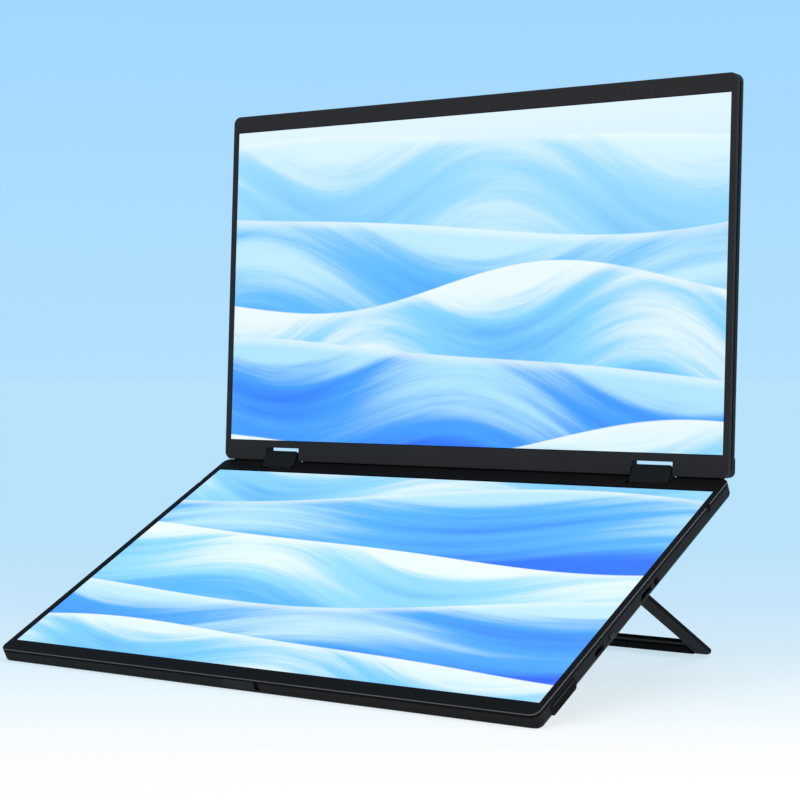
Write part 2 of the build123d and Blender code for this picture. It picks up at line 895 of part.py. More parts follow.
def pad_block(side, beyond):
    """A rear pad with round corners, or the pocket that it sits in when it runs on beyond the pad."""
    ends = (pad_edge_gap, pad_edge_gap + pad_length)
    top = -upper.thickness + pad_seat
    reach = across(side, half_width - pad_width - pad_edge_gap, half_width - pad_edge_gap)
    pad = block(reach, ends, (-upper.thickness - pad_proud - beyond, top))
    return fillet(pad.edges().filter_by(Axis.Z), pad_corner)


def rear_pad(side):
    pad = pad_block(side, 0)
    return fillet(pad.faces().sort_by(Axis.Z)[0].edges(), pad_rounding)


def side_grooves():
    ends = (groove_y, groove_y + groove_width)
    height = (-groove_height, overrun)
    reach = (half_width - groove_depth, half_width + overrun)
    return [block(across(side, *reach), ends, height) for side in (-1, 1)]


def latch_slot():
    through = (lower.length - wall - fit_clearance, lower.length + overrun)
    height = (-latch_slot_top - latch_slot_height, -latch_slot_top)
    return block((-latch_slot_right, latch_slot_left), through, height)


def slide_latch():
    """Knob in the front face's slot, on a plate that slides behind the wall."""
    knob_x = (-latch_slot_right + latch_travel + latch_gap, latch_slot_left - latch_gap)
    knob_z = (-latch_slot_top - latch_slot_height + latch_gap, -latch_slot_top - latch_gap)
    plate_front = lower.length - wall - latch_plate_gap
    plate_back = plate_front - latch_plate_thickness
    knob = block(knob_x, (plate_front, lower.length + latch_proud), knob_z)
    knob = fillet(knob.faces().sort_by(Axis.Y)[-1].edges(), latch_rounding)
    plate_x = (knob_x[0] - latch_plate_margin, knob_x[1] + latch_plate_margin)
    plate_z = (lower.inner_floor + latch_plate_floor_gap, -seam_depth)
    return knob + block(plate_x, (plate_back, plate_front), plate_z)


def chin_lamp(gap):
    return post(chin_lamp_x, chin_lamp_y, (-lip_thickness, 0), chin_lamp_radius + gap)


def chin_status_lamp():
    flange = (-lip_thickness - chin_lamp_flange_thickness, -lip_thickness)
    return chin_lamp(0) + post(chin_lamp_x, chin_lamp_y, flange, chin_lamp_radius + chin_lamp_flange)


# Covers with all their openings


def desk_cut():
    """Everything below the desk."""
    reach = 2 * half_width
    return block((-reach, reach), (-reach, reach), (-lower.length, 0))


def lower_rear_cover():
    height = (-lower.thickness, -lower.thickness + recess_depth + floor_thickness)
    islands = [stand_recess(floor_thickness, height)] + stand_ears()
    wall_through = right(inner_side - wall, half_width + overrun)
    holes = [stand_recess(0, (-lower.thickness - overrun, -lower.thickness + recess_depth))]
    holes += [rod(pin_range(side), stand_pivot_y, pivot_z, pin_radius + fit_clearance) for side in (-1, 1)]
    holes += [socket_hole(usb_y, usb_width, usb_height), socket_hole(hdmi_y, hdmi_width, hdmi_height)]
    holes.append(rod(wall_through, jack_y, jack_middle(), jack_hole_radius))
    holes.append(rod(wall_through, lamp_y, side_port_z, lamp_radius + fit_clearance))
    button_size = (button_width + 2 * slide_clearance, button_height + 2 * slide_clearance)
    holes.append(pill(wall_through, button_y, side_port_z, *button_size))
    holes += feet(overrun, fit_clearance)
    holes += sound_slots() + side_grooves() + [latch_slot()]
    return rear_cover(lower, islands, holes)


def edge_ribs():
    """Round ribs along the upper half's hinge edge, which hide the gap between the open halves."""
    middle_end = notch_inner - notch_wall
    outer_ends = (notch_outer + notch_wall, half_width - corner_radius)
    reaches = [(-middle_end, middle_end)] + [across(side, *outer_ends) for side in (-1, 1)]
    y = edge_rib_radius - edge_rib_proud
    return [rod(reach, y, -upper.axis_depth, edge_rib_radius) for reach in reaches]


def upper_rear_cover():
    cover = rear_cover(upper, [], [pad_block(side, overrun) for side in (-1, 1)])
    for rib in edge_ribs():
        cover += rib
    return cover


def pair(make, *sizes):
    return [make(*sizes, side) for side in (-1, 1)]


# Writing the pieces

os.makedirs("parts", exist_ok=True)


def save(name, place, shapes, cut=None):
    """Writes one node: a piece, or a group of like pieces, moved to its place at rest."""
    placed = [place * shape for shape in shapes]
    if cut is not None:
        placed = [shape - cut for shape in placed]
    solids = [solid for shape in placed for solid in shape.solids()]
    export_step(Compound(solids), f"parts/{name}.step")


save("lower_rear_cover", lower_place, [lower_rear_cover()], desk_cut())
save("lower_bezel", lower_place, [bezel(lower, side_grooves() + [latch_slot()])])
save("upper_rear_cover", upper_place, [upper_rear_cover()])
save("upper_bezel", upper_place, [bezel(upper, [chin_lamp(fit_clearance)])])
for label, half, place in (("lower", lower, lower_place), ("upper", upper, upper_place)):
    save(f"{label}_lcd_panel", place, [lcd_panel(half)])
    save(f"{label}_light_guide", place, [light_guide(half)])
    save(f"{label}_backlight_tray", place, [backlight_tray(half)])
    save(f"{label}_driver_board", place, [driver_board(half)])
    save(f"{label}_case_screws", place, case_screws(half))
    save(f"{label}_hinge_shafts", place, pair(hinge_shaft, half))
    save(f"{label}_hinge_brackets", place, pair(hinge_bracket, half))
    save(f"{label}_hinge_screws", place, hinge_screws(half))
    save(f"{label}_hinge_rivets", place, hinge_rivets(half))
for label, side in (("left", -1), ("right", 1)):
    save(f"{label}_hinge_block", link_place, [hinge_block(side)])
    save(f"{label}_hinge_cover", link_place, [hinge_cover(side)])
save("main_board", lower_place, [main_board()])
save("board_chips", lower_place, board_chips())
save("lower_panel_cable", lower_place, [lower_panel_cable()])
save("usb_c_socket", lower_place, [usb_c_socket()])
save("mini_hdmi_socket", lower_place, [mini_hdmi_socket()])
save("audio_jack", lower_place, [audio_jack()])
save("status_light_pipe", lower_place, [status_light_pipe()])
save("power_switch", lower_place, [power_switch()])
save("power_button", lower_place, [power_button()])
save("speakers", lower_place, pair(speaker))
save("lower_feet", lower_place, feet(foot_side_proud, 0))
save("stand_pins", lower_place, stand_pins())
save("slide_latch", lower_place, [slide_latch()])
save("upper_rear_pads", upper_place, pair(rear_pad))
save("upper_status_lamp", upper_place, [chin_status_lamp()])
save("stand_frame", stand_place, [stand_frame()], desk_cut())
save("stand_foot_strip", stand_place, [stand_foot_strip()], desk_cut())

# Joint axes at rest, as y and z in millimetres, and angles in degrees
stand_axis_y = hinge_y + behind_axis(stand_pivot_y, pivot_z)
print("lower hinge axis", hinge_y, hinge_height)
print("upper hinge axis", upper_axis_y, upper_axis_z)
print("stand axis", stand_axis_y, pivot_height)
print("stand opened by", stand_open, "of", stand_most_open_angle)
print("halves", lower.length, lower.thickness, upper.length, upper.thickness)
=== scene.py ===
"""Looks of a stacked dual-screen monitor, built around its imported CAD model."""
import json
import math

import bmesh
import bpy
from mathutils import Euler, Matrix, Vector


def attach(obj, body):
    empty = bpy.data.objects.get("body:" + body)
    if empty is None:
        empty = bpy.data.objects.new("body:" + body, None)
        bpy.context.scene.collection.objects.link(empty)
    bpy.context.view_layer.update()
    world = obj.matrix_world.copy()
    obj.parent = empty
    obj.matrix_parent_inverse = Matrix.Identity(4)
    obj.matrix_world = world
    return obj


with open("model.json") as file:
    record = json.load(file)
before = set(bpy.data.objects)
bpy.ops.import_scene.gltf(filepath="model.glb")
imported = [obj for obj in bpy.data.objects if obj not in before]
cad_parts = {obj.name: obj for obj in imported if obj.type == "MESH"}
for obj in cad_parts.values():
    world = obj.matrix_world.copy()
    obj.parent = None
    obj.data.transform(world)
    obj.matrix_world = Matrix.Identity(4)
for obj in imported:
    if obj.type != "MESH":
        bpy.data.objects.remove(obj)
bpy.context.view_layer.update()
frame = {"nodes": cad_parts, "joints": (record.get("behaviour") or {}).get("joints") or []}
nodes = frame["nodes"]

# Units
MM = 0.001
HALF_TURN = 180.0
QUARTER_TURN = 90.0

# Halves, in millimetres as in the CAD model: depths count from the front face, places from the hinge edge
HALF_WIDTH = 176.3
LOWER_LENGTH = 216.6
UPPER_LENGTH = 216.6
CORNER_RADIUS = 4.8
CORNER_STEPS = 6
ACTIVE_HALF_WIDTH = 172.1
ACTIVE_HEIGHT = 193.6
LOWER_ACTIVE_START = 12.8
UPPER_ACTIVE_START = 12.5
PANEL_DEPTH = 0.7
PICTURE_THICKNESS = 0.05
PICTURE_BEVEL = 0.015

# Pose at rest, in degrees, and the hinge axes in millimetres
LOWER_TILT = 26.84
OPENING = 119.4
LOWER_AXIS_INSET = 4.2
UPPER_AXIS_INSET = 3.1
LOWER_AXIS_DEPTH = 3.1
UPPER_AXIS_DEPTH = 4.2

# Seam lines, in millimetres: a thin dark joint round the lower half, a broad band of painted shadow round the
# upper one
LOWER_SEAM_DEPTH = 1.8
LOWER_SEAM_HEIGHT = 0.08
UPPER_SEAM_DEPTH = 2.6
UPPER_SEAM_HEIGHT = 1.6
SEAM_PROUD = 0.012

# Where the edges are cut away, in millimetres, so that the seams stop there
NOTCH_INNER = 116.7
NOTCH_OUTER = 142.6
SIDE_GROOVE = (26.4, 30.8)
LATCH_SLOT = (-11.0, 12.8)
NO_SLOT = (0.0, 0.0)

# Rubber feet and the raised line on each, in millimetres; the line's lighter colour is a painted highlight
FOOT = (180.8, 204.8)
FOOT_END = 1.9
FOOT_PROUD = 0.2
RIDGE_DEPTH = 4.4
RIDGE_HEIGHT = 0.35
RIDGE_PROUD = 0.12

# Contacts in the sockets, in millimetres: width is that of the row, reach where a contact's ends lie
BOARD_TOP = -6.8
CONTACT_THICKNESS = 0.06
CONTACT_LIFT = 0.02
CONTACT_BEVEL = 0.015
USB_CONTACTS = {
    "y": 155.8, "width": 5.8, "count": 12, "pad_width": 0.26, "reach": (173.0, 169.4),
    "socket_height": 3.16, "tongue": 0.7,
}
HDMI_CONTACTS = {
    "y": 104.9, "width": 7.2, "count": 10, "pad_width": 0.40, "reach": (173.0, 169.6),
    "socket_height": 3.2, "tongue": 0.8,
}

# Camera, fitted to the photo: metres, degrees and millimetres
CAMERA_PLACE = (0.65399, -0.88758, 0.17057)
CAMERA_AZIMUTH = 35.985
CAMERA_PITCH = -1.311
CAMERA_LENS = 89.487
SENSOR_WIDTH = 36.0
CLIP_END = 60.0

# Waves on the screens. Heights count in screens, from the foot of the lower screen.
LOWER_SCREEN_FOOT = 0.0
UPPER_SCREEN_FOOT = 1.1

# From the farthest wave to the nearest: height, swell, pace, start, depth, folds and the colours of its
# crest, middle and foot
WAVES = (
    (2.02, 0.050, 4.1, 0.4, 0.62, 7.0, (214, 242, 255), (150, 216, 255), (96, 184, 255)),
    (1.80, 0.075, 3.3, 2.6, 0.55, 9.0, (190, 234, 255), (98, 188, 255), (44, 132, 250)),
    (1.57, 0.060, 5.0, 4.3, 0.50, 8.0, (232, 248, 255), (130, 210, 255), (54, 150, 255)),
    (1.36, 0.070, 3.7, 0.9, 0.48, 10.0, (176, 228, 255), (64, 158, 255), (22, 92, 246)),
    (1.12, 0.055, 4.6, 3.4, 0.46, 8.0, (226, 246, 255), (142, 214, 255), (70, 168, 255)),
    (0.88, 0.070, 3.1, 5.3, 0.45, 9.0, (186, 232, 255), (84, 178, 255), (30, 110, 250)),
    (0.62, 0.060, 4.3, 1.5, 0.40, 9.0, (236, 250, 255), (150, 220, 255), (88, 182, 255)),
    (0.36, 0.065, 3.5, 3.9, 0.42, 10.0, (196, 236, 255), (70, 166, 255), (20, 84, 244)),
    (0.12, 0.045, 4.8, 0.2, 0.36, 8.0, (228, 247, 255), (128, 208, 255), (60, 154, 255)),
)

# Shape and shade of a wave: a quick wave on the slow one, soft and fine folds below the crest, and streaks
QUICK_PACE_SHARE = 1.73
QUICK_START = 0.9
QUICK_SWELL_SHARE = 0.38
CREST_BLUR = (-0.002, 0.003)
BEND_PACE_SHARE = 2.1
BEND_START = 2.0
BEND_SHARE = 0.22
FOLD_SHADE_SHARE = 0.20
FINE_FOLDS = 41.0
FINE_DRIFT_SHARE = 2.2
FINE_SHADE_SHARE = 0.035
STREAK_LENGTH_SHARE = 0.55
STREAK_COUNT = 8.0
STREAK_SHADE_SHARE = 0.75
MIDDLE_SHADES = (0.0, 0.45)
DEEP_SHADES = (0.38, 1.0)
RIM_REACH = 0.035
RIM_SHARE = 0.55
RIM_COLOUR = (240, 250, 255)
PICTURE_SKY = (1.6, 2.2)
PICTURE_SKY_LOW = (190, 230, 255)
PICTURE_SKY_HIGH = (226, 244, 255)
SCREEN_BLACK = (0.01, 0.01, 0.012, 1.0)
SCREEN_ROUGHNESS = 0.42
SCREEN_SPECULAR = 0.25
SCREEN_STRENGTH = 1.0

# Floor colours along the line of sight: distance past the object's middle in metres, and colour
FLOOR_COLOURS = (
    (-0.33, (255, 255, 255)),
    (-0.235, (251, 253, 255)),
    (-0.11, (236, 249, 255)),
    (0.058, (216, 239, 254)),
    (0.294, (200, 233, 255)),
    (0.651, (188, 230, 254)),
    (1.254, (183, 227, 253)),
)
FLOOR_RADIUS = 14.0
FLOOR_SIDES = 96

# The floor's own glow grows between two distances, in metres, so that the object's shadow shows near it
GLOW_RANGE = (0.3, 1.2)
GLOW_SHARES = (0.78, 1.0)

# Sky: its rise, colours and light
SKY_RISE = (-0.01, 0.18)
SKY_LOW = (180, 225, 255)
SKY_HIGH = (162, 215, 254)
SKY_LIGHT = (0.92, 0.96, 1.0, 1.0)
SKY_LIGHT_STRENGTH = 0.38

# Noise values between which a surface changes from one look to the other
CLOUD_RANGE = (0.3, 0.7)
SPECKLE_RANGE = (0.35, 0.65)

# Lamps: place, target and width in metres, power in watts
LAMPS = {
    "key": ((-0.7, -1.5, 1.2), (0.0, 0.0, 0.12), 1.3, 7.5),
    "top": ((0.1, 0.1, 1.9), (0.0, 0.0, 0.0), 1.5, 14.0),
    "side": ((1.7, -0.3, 0.8), (0.0, 0.0, 0.1), 0.9, 14.0),
}

# Screen colours turned into light: the standard curve
FULL_CHANNEL = 255
CURVE_KNEE = 0.04045
CURVE_SLOPE = 12.92
CURVE_OFFSET = 0.055
CURVE_POWER = 2.4

# Frames of the halves: y from the hinge edge to the free edge, z out of the screen


def turn(degrees, axis):
    return Matrix.Rotation(math.radians(degrees), 4, axis)


def shift(x, y, z):
    return Matrix.Translation(Vector((x, y, z)) * MM)


joints = {joint["name"]: joint for joint in frame["joints"]}
lower_axis = Vector(joints["link_tilt"]["pos_m"])
upper_axis = Vector(joints["upper_tilt"]["pos_m"])
to_lower = Matrix.Translation(lower_axis) @ turn(LOWER_TILT, "X") @ turn(HALF_TURN, "Z")
to_lower = to_lower @ shift(0, -LOWER_AXIS_INSET, LOWER_AXIS_DEPTH)
to_upper = Matrix.Translation(upper_axis) @ turn(LOWER_TILT + HALF_TURN - OPENING, "X")
to_upper = to_upper @ shift(0, -UPPER_AXIS_INSET, UPPER_AXIS_DEPTH)


# Colours


def linear(channel):
    share = channel / FULL_CHANNEL
    if share <= CURVE_KNEE:
        return share / CURVE_SLOPE
    return ((share + CURVE_OFFSET) / (1 + CURVE_OFFSET)) ** CURVE_POWER


def colour(red, green, blue):
    """A colour as it should look on screen, from 0 to 255 a channel."""
    return (linear(red), linear(green), linear(blue), 1.0)


def scaled(base, factor):
    """A colour made darker or lighter, with its alpha left at 1."""
    red, green, blue, alpha = base
    return tuple(min(1.0, channel * factor) for channel in (red, green, blue)) + (alpha,)


# Material nodes


class Tree:
    """A node tree that is written as a chain of calls."""

    def __init__(self, tree):
        self.tree = tree

    def node(self, kind, **settings):
        made = self.tree.nodes.new("ShaderNode" + kind)
        for name, value in settings.items():
            setattr(made, name, value)
        return made

    def put(self, socket, value):
        if isinstance(value, bpy.types.NodeSocket):
            self.tree.links.new(value, socket)
        else:
            socket.default_value = value

    def math(self, operation, *values):
        made = self.node("Math", operation=operation)
        for socket, value in zip(made.inputs, values):
            self.put(socket, value)
        return made.outputs[0]

    def mix(self, factor, first, second, kind="RGBA"):
        made = self.node("Mix", data_type=kind)
        self.put(made.inputs["Factor"], factor)
        named = [socket for socket in made.inputs if socket.enabled and socket.name in ("A", "B")]
        self.put(named[0], first)
        self.put(named[1], second)
        return next(socket for socket in made.outputs if socket.enabled)

    def spread(self, value, old_range, new_range=(0.0, 1.0), smooth=False):
        """Map a value from one range to another, held at the new range's ends."""
        made = self.node("MapRange", interpolation_type="SMOOTHSTEP" if smooth else "LINEAR")
        for socket, number in zip(made.inputs, (value, *old_range, *new_range)):
            self.put(socket, number)
        return made.outputs[0]

    def noise(self, place, scale, detail=2.0, roughness=0.5):
        made = self.node("TexNoise")
        self.put(made.inputs["Vector"], place)
        self.put(made.inputs["Scale"], scale)
        self.put(made.inputs["Detail"], detail)
        self.put(made.inputs["Roughness"], roughness)
        return made.outputs[0]

    def stretched(self, place, scale):
        made = self.node("Mapping")
        self.put(made.inputs["Vector"], place)
        self.put(made.inputs["Scale"], scale)
        return made.outputs[0]

    def dot(self, vector, direction):
        made = self.node("VectorMath", operation="DOT_PRODUCT")
        self.put(made.inputs[0], vector)
        self.put(made.inputs[1], direction)
        return made.outputs["Value"]

    def bump(self, height, distance, strength):
        made = self.node("Bump")
        self.put(made.inputs["Height"], height)
        self.put(made.inputs["Distance"], distance)
        self.put(made.inputs["Strength"], strength)
        return made.outputs[0]

    def object_place(self):
        return self.node("TexCoord").outputs["Object"]

    def seen_rays(self):
        """1 for rays from the camera, from reflections and through glass, 0 for the light on the object."""
        rays = self.node("LightPath").outputs
        seen = self.math("MAXIMUM", rays["Is Camera Ray"], rays["Is Glossy Ray"])
        return self.math("MAXIMUM", seen, rays["Is Transmission Ray"])

    def blend(self, share, first, second):
        """A mix of two shaders: a share of 0 gives the first and 1 the second."""
        both = self.node("MixShader")
        self.put(both.inputs[0], share)
        self.put(both.inputs[1], first.outputs[0])
        self.put(both.inputs[2], second.outputs[0])
        return both.outputs[0]


def empty_tree(owner):
    owner.use_nodes = True
    owner.node_tree.nodes.clear()
    return Tree(owner.node_tree)


def new_material(name):
    made = bpy.data.materials.new(name)
    tree = empty_tree(made)
    shader = tree.node("BsdfPrincipled")
    tree.put(tree.node("OutputMaterial").inputs["Surface"], shader.outputs[0])
    return made, tree, shader.inputs


def on_chamfer(tree, place):
    """1 on the chamfer between a half's front face and its sides, 0 elsewhere: where the painted highlight
    goes.
    """
    outward = place.to_3x3() @ Vector((0, 0, 1))
    slope = tree.dot(tree.node("TexCoord").outputs["Normal"], outward)
    chamfer_slope = math.cos(math.radians(QUARTER_TURN / 2))
    slope_tolerance = 0.2
    return tree.math("COMPARE", slope, chamfer_slope, slope_tolerance)


def grained(name, base, rough, grain, depth, patch=0.12, metal=0.0, specular=0.5, along=(1, 1, 1), edge=None):
    """A fine-grained surface: grain is its size in millimetres, depth its height, patch its colour change.

    along stretches the grain. edge gives a half's place and the colour of a painted highlight on its chamfer,
    a lighter colour that stands in for light caught by the edge."""
    made, tree, inputs = new_material(name)
    place = tree.object_place()
    fine = tree.noise(tree.stretched(place, along), scale=1 / (grain * MM), detail=3.0, roughness=0.6)
    cloud = tree.noise(place, scale=18.0, detail=4.0, roughness=0.55)
    speckle = tree.mix(0.5, fine, cloud, "FLOAT")
    tint = tree.mix(tree.spread(speckle, SPECKLE_RANGE), scaled(base, 1 - patch), scaled(base, 1 + patch))
    if edge:
        # Painted highlight: the chamfer gets a lighter colour in place of the light it catches
        place_of_half, painted_highlight = edge
        tint = tree.mix(on_chamfer(tree, place_of_half), tint, painted_highlight)
    tree.put(inputs["Base Color"], tint)
    rough_change = 0.05
    rough_range = (rough - rough_change, rough + rough_change)
    tree.put(inputs["Roughness"], tree.spread(cloud, CLOUD_RANGE, rough_range))
    tree.put(inputs["Metallic"], metal)
    tree.put(inputs["Specular IOR Level"], specular)
    tree.put(inputs["Normal"], tree.bump(fine, distance=depth * MM, strength=0.6))
    return made


def clear_plastic(name, base, rough=0.18, specular=0.3, patch=0.3):
    """Smooth plastic with a fine mottle: patch is how much lighter it gets."""
    made, tree, inputs = new_material(name)
    cloud = tree.noise(tree.object_place(), scale=900.0)
    tree.put(inputs["Base Color"], tree.mix(tree.spread(cloud, CLOUD_RANGE), base, scaled(base, 1 + patch)))
    tree.put(inputs["Roughness"], rough)
    tree.put(inputs["Specular IOR Level"], specular)
    return made


def circuit_board(name, rough=0.35, cells_scale=260.0, track_height=0.02):
    """Green solder mask with copper tracks that show through as paler lines."""
    made, tree, inputs = new_material(name)
    cells = tree.node("TexBrick", offset=0.5)
    tree.put(cells.inputs["Vector"], tree.object_place())
    tree.put(cells.inputs["Scale"], cells_scale)
    tree.put(cells.inputs["Color1"], colour(20, 74, 44))
    tree.put(cells.inputs["Color2"], colour(24, 84, 50))
    tree.put(cells.inputs["Mortar"], colour(60, 120, 74))
    tree.put(inputs["Base Color"], cells.outputs["Color"])
    tree.put(inputs["Roughness"], rough)
    tree.put(inputs["Normal"], tree.bump(cells.outputs["Fac"], distance=track_height * MM, strength=0.4))
    return made


# Picture on the screens: broad layered waves with satin folds, in blues and white


def wave_layer_group():
    """One wave: below its crest line it covers what is behind with a folded sheet of colour."""
    group = bpy.data.node_groups.new("wave_layer", "ShaderNodeTree")
    numbers = ("Across", "Up", "Height", "Swell", "Pace", "Start", "Depth", "Folds")
    kinds = {"Behind": "NodeSocketColor"}
    kinds.update({name: "NodeSocketFloat" for name in numbers})
    kinds.update({name: "NodeSocketColor" for name in ("Crest", "Middle", "Deep")})
    for name, kind in kinds.items():
        group.interface.new_socket(name, in_out="INPUT", socket_type=kind)
    group.interface.new_socket("Seen", in_out="OUTPUT", socket_type="NodeSocketColor")
    tree = Tree(group)
    source = group.nodes.new("NodeGroupInput").outputs
    result = group.nodes.new("NodeGroupOutput").inputs
    turns = tree.math("MULTIPLY_ADD", source["Across"], source["Pace"], source["Start"])
    slow = tree.math("SINE", turns)
    quick = tree.math("SINE", tree.math("MULTIPLY_ADD", turns, QUICK_PACE_SHARE, QUICK_START))
    swell = tree.math("MULTIPLY_ADD", quick, QUICK_SWELL_SHARE, slow)
    crest = tree.math("MULTIPLY_ADD", swell, source["Swell"], source["Height"])
    below = tree.math("SUBTRACT", crest, source["Up"])
    cover = tree.spread(below, CREST_BLUR, smooth=True)
    share = tree.math("DIVIDE", below, source["Depth"])
    sway = tree.math("SINE", tree.math("MULTIPLY_ADD", turns, BEND_PACE_SHARE, BEND_START))
    bend = tree.math("MULTIPLY_ADD", sway, BEND_SHARE, share)
    fold = tree.math("SINE", tree.math("MULTIPLY", bend, source["Folds"]))
    drift = tree.math("MULTIPLY", slow, FINE_DRIFT_SHARE)
    fine = tree.math("SINE", tree.math("MULTIPLY_ADD", bend, FINE_FOLDS, drift))
    shade = tree.math("MULTIPLY_ADD", fold, FOLD_SHADE_SHARE, share)
    shade = tree.math("MULTIPLY_ADD", fine, FINE_SHADE_SHARE, shade)
    lengthways = tree.node("CombineXYZ")
    tree.put(lengthways.inputs[0], tree.math("MULTIPLY", turns, STREAK_LENGTH_SHARE))
    tree.put(lengthways.inputs[1], tree.math("MULTIPLY", bend, STREAK_COUNT))
    tree.put(lengthways.inputs[2], source["Start"])
    streak = tree.noise(lengthways.outputs[0], scale=1.0, detail=4.0, roughness=0.62)
    streak = tree.math("SUBTRACT", streak, 0.5)
    shade = tree.math("MULTIPLY_ADD", streak, STREAK_SHADE_SHARE, shade)
    upper = tree.mix(tree.spread(shade, MIDDLE_SHADES, smooth=True), source["Crest"], source["Middle"])
    sheet = tree.mix(tree.spread(shade, DEEP_SHADES, smooth=True), upper, source["Deep"])
    rim = tree.spread(below, (0.0, RIM_REACH), (RIM_SHARE, 0.0), smooth=True)
    sheet = tree.mix(rim, sheet, colour(*RIM_COLOUR))
    tree.put(result["Seen"], tree.mix(cover, source["Behind"], sheet))
    return group


def picture_material(name, screen_foot, layer):
    """A lit screen: a pale sky, and each wave laid over what is behind it."""
    made, tree, inputs = new_material(name)
    split = tree.node("SeparateXYZ")
    tree.put(split.inputs[0], tree.node("UVMap", uv_map="picture").outputs[0])
    up = tree.math("ADD", split.outputs["Y"], screen_foot)
    sky = tree.spread(up, PICTURE_SKY, smooth=True)
    seen = tree.mix(sky, colour(*PICTURE_SKY_LOW), colour(*PICTURE_SKY_HIGH))
    for height, swell, pace, start, depth, folds, crest, middle, deep in WAVES:
        sheet = tree.node("Group", node_tree=layer)
        values = {
            "Behind": seen, "Across": split.outputs["X"], "Up": up,
            "Height": height, "Swell": swell, "Pace": pace, "Start": start, "Depth": depth, "Folds": folds,
            "Crest": colour(*crest), "Middle": colour(*middle), "Deep": colour(*deep),
        }
        for socket, value in values.items():
            tree.put(sheet.inputs[socket], value)
        seen = sheet.outputs["Seen"]
    tree.put(inputs["Base Color"], SCREEN_BLACK)
    tree.put(inputs["Roughness"], SCREEN_ROUGHNESS)
    tree.put(inputs["Specular IOR Level"], SCREEN_SPECULAR)
    tree.put(inputs["Emission Color"], seen)
    tree.put(inputs["Emission Strength"], SCREEN_STRENGTH)
    return made


# Mesh building


def add_object(name, data):
    made = bpy.data.objects.new(name, data)
    bpy.context.scene.collection.objects.link(made)
    return made


def mesh_from(name, mesh_data, material):
    mesh = bpy.data.meshes.new(name)
    mesh_data.to_mesh(mesh)
    mesh_data.free()
    mesh.materials.append(material)
    return mesh


def add_piece(name, mesh_data, place, material, body):
    mesh = mesh_from(name, mesh_data, material)
    mesh.transform(place)
    made = add_object(name, mesh)
    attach(made, body)


def add_block(made, middle, size):
    place = Matrix.Translation(middle * MM) @ Matrix.Diagonal((*(size * MM), 1.0))
    bmesh.ops.create_cube(made, size=1.0, matrix=place)


def bevel_all(made, width):
    bmesh.ops.bevel(made, geom=list(made.edges), offset=width * MM, segments=1, affect="EDGES")


def screen_picture(name, start, facing, place, material, body):
    """A thin lit layer on the panel's front, with its picture the right way up for a viewer in front.

    facing is 1 where the half's y runs up the picture, and -1 where it runs down."""
    made = bmesh.new()
    middle = Vector((0, start + ACTIVE_HEIGHT / 2, PICTURE_THICKNESS / 2 - PANEL_DEPTH))
    add_block(made, middle, Vector((2 * ACTIVE_HALF_WIDTH, ACTIVE_HEIGHT, PICTURE_THICKNESS)))
    bevel_all(made, PICTURE_BEVEL)
    layer = made.loops.layers.uv.new("picture")
    for face in made.faces:
        for loop in face.loops:
            point = loop.vert.co / MM
            share_x = (point.x / ACTIVE_HALF_WIDTH + 1) / 2
            share_y = (point.y - start) / ACTIVE_HEIGHT
            loop[layer].uv = (share_x, share_y) if facing > 0 else (1 - share_x, 1 - share_y)
    add_piece(name, made, place, material, body)


def corner_arc(x, y, side_x, side_y):
    """Points round one corner of a half's outline, from the y side to the x side."""
    points = []
    for step in range(CORNER_STEPS + 1):
        angle = math.radians(QUARTER_TURN) * step / CORNER_STEPS
        out_x = side_x * CORNER_RADIUS * math.sin(angle)
        out_y = side_y * CORNER_RADIUS * math.cos(angle)
        points.append((x + out_x, y + out_y))
    return points


def strip(made, points, level, height, proud):
    """A thin strip that follows points round the outline: it stands proud of them by a little."""
    rings = []
    section = ((-proud, -height / 2), (proud, -height / 2), (proud, height / 2), (-proud, height / 2))
    for number, point in enumerate(points):
        before = Vector(points[max(number - 1, 0)])
        after = Vector(points[min(number + 1, len(points) - 1)])
        along = (after - before).normalized()
        outward = Vector((along.y, -along.x))
        ring = []
        for out, up in section:
            spot = Vector(point) + outward * out
            ring.append(made.verts.new(Vector((spot.x, spot.y, level + up)) * MM))
        rings.append(ring)
    for first, second in zip(rings, rings[1:]):
        for number in range(len(section)):
            following = (number + 1) % len(section)
            made.faces.new((first[number], first[following], second[following], second[number]))
    made.faces.new(rings[0])
    made.faces.new(list(reversed(rings[-1])))


def half_outline(length, side):
    """Outline from a hinge notch round one side to the corner at the free edge."""
    inner_x = HALF_WIDTH - CORNER_RADIUS
    points = [(side * NOTCH_OUTER, 0.0)]
    points += [(side * x, y) for x, y in corner_arc(inner_x, CORNER_RADIUS, 1, -1)]
    points += [(side * x, y) for x, y in reversed(corner_arc(inner_x, length - CORNER_RADIUS, 1, 1))]
    return points


def seam(name, length, level, height, breaks, free_edge, place, material, body):
    """Dark strip along the parting line between bezel and rear cover, left out where the edge is cut away: a
    dark joint where thin, painted shadow of a groove where broad.
    """
    made = bmesh.new()
    for side, stop in zip((-1, 1), free_edge):
        points = half_outline(length, side)
        runs = [points]
        if breaks:
            low, high = breaks
            near = [point for point in points if point[1] < low] + [(side * HALF_WIDTH, low)]
            far = [(side * HALF_WIDTH, high)] + [point for point in points if point[1] > high]
            runs = [near, far]
        runs[-1] = runs[-1] + [(stop, length)]
        for run in runs:
            ordered = run if side > 0 else list(reversed(run))
            strip(made, ordered, level, height, SEAM_PROUD)
    middle_run = [(-NOTCH_INNER, 0.0), (0.0, 0.0), (NOTCH_INNER, 0.0)]
    strip(made, middle_run, level, height, SEAM_PROUD)
    bmesh.ops.recalc_face_normals(made, faces=made.faces)
    add_piece(name, made, place, material, body)


